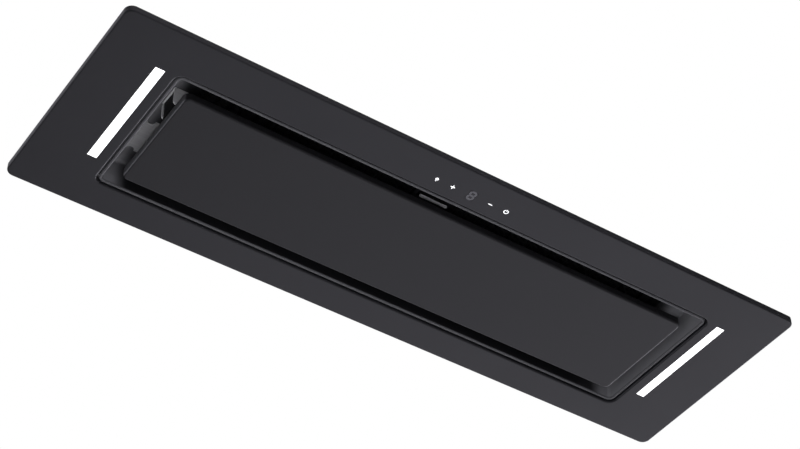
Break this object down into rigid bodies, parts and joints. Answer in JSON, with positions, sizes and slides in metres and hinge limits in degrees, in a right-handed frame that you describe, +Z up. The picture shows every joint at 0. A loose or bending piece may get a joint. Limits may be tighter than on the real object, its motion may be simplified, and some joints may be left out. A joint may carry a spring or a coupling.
{
  "type": "undermount range hood",
  "caption": "Undermount range hood: black face plate with a perimeter suction panel that swings down, light strips, touch controls, grease filter, blower box and duct spigot with damper.",
  "frame": {"origin": "centre of the face plate's room-side face, the lowest plane of the part as it hangs", "axes": "+Z up into the cabinet, +X along the hood, -Y towards the edge with the touch controls"},
  "size_m": [0.9, 0.287, 0.3],
  "materials": {
    "fascia_black": "satin black coated steel",
    "recess_black": "satin black coated steel",
    "bracket_grey": "light grey coated sheet",
    "zinc_steel": "galvanised sheet",
    "bright_steel": "plain bright steel",
    "alu_frame": "anodised",
    "filter_black": "black coated aluminium",
    "filter_mesh": "black coated expanded mesh",
    "magnet": "nickel plated",
    "black_plastic": "moulded",
    "grey_plastic": "moulded, light grey",
    "lens_white": "lit opal diffuser",
    "smoked_window": "smoked",
    "light_guide": "clear guide, lit",
    "led_board_white": "white solder resist",
    "board_green": "green solder resist",
    "motor_cast": "die cast",
    "rubber_black": "matt"
  },
  "bodies": {
    "hood": {"face_plate": "fascia_black", "recess_collar": "recess_black", "hinge_brackets": "bracket_grey", "hinge_pins": "bright_steel", "catch_brackets": "bracket_grey", "catch_bodies": "black_plastic", "catch_magnets": "magnet", "filter_frame": "filter_black", "filter_core": "filter_mesh", "latch_housing": "black_plastic", "latch_spring": "bright_steel", "led_lens_left": "lens_white", "led_lens_right": "lens_white", "led_board_left": "led_board_white", "led_board_right": "led_board_white", "led_tray_left": "alu_frame", "led_tray_right": "alu_frame", "display_window": "smoked_window", "key_light_guides": "light_guide", "touch_board": "board_green", "touch_cover": "black_plastic", "chassis": "zinc_steel", "cabinet_clips": "bright_steel", "clip_rivets": "zinc_steel", "blower_box": "zinc_steel", "box_screws": "bright_steel", "scroll_band": "zinc_steel", "scroll_side_left": "zinc_steel", "scroll_side_right": "zinc_steel", "motor": "motor_cast", "motor_bracket": "zinc_steel", "motor_bushes": "rubber_black", "capacitor": "grey_plastic", "capacitor_clip": "bright_steel", "spigot": "zinc_steel", "spigot_screws": "bright_steel", "damper_pins": "bright_steel", "terminal_box": "black_plastic", "terminal_lid": "black_plastic", "cable_gland": "black_plastic", "led_driver": "grey_plastic", "control_box": "black_plastic"},
    "panel": {"perimeter_panel": "fascia_black", "panel_stiffeners": "zinc_steel", "panel_hinge_arms": "zinc_steel", "striker_plates": "zinc_steel"},
    "latch": {"filter_latch": "grey_plastic"},
    "fan": {"impeller": "black_plastic", "motor_shaft": "bright_steel"},
    "flap_near": {"damper_flap_near": "zinc_steel"},
    "flap_far": {"damper_flap_far": "zinc_steel"}
  },
  "joints": [
    {"name": "panel_swing", "type": "hinge", "parent": "hood", "child": "panel", "pos_m": [0, 0.062, 0.017], "axis": [1, 0, 0], "range_deg": [0, 90]},
    {"name": "latch_slide", "type": "slide", "parent": "hood", "child": "latch", "axis": [0, 1, 0], "range_m": [0, 0.004], "stiffness_N_per_m": 200, "springref_m": -0.006, "deforming": ["latch_spring"]},
    {"name": "fan_spin", "type": "hinge", "parent": "hood", "child": "fan", "pos_m": [0, -0.03, 0.166], "axis": [1, 0, 0], "continuous": true},
    {"name": "flap_near_swing", "type": "hinge", "parent": "hood", "child": "flap_near", "pos_m": [0, 0.017, 0.26], "axis": [-1, 0, 0], "range_deg": [0, 80]},
    {"name": "flap_far_swing", "type": "hinge", "parent": "hood", "child": "flap_far", "pos_m": [0, 0.031, 0.26], "axis": [1, 0, 0], "range_deg": [0, 80]}
  ]
}
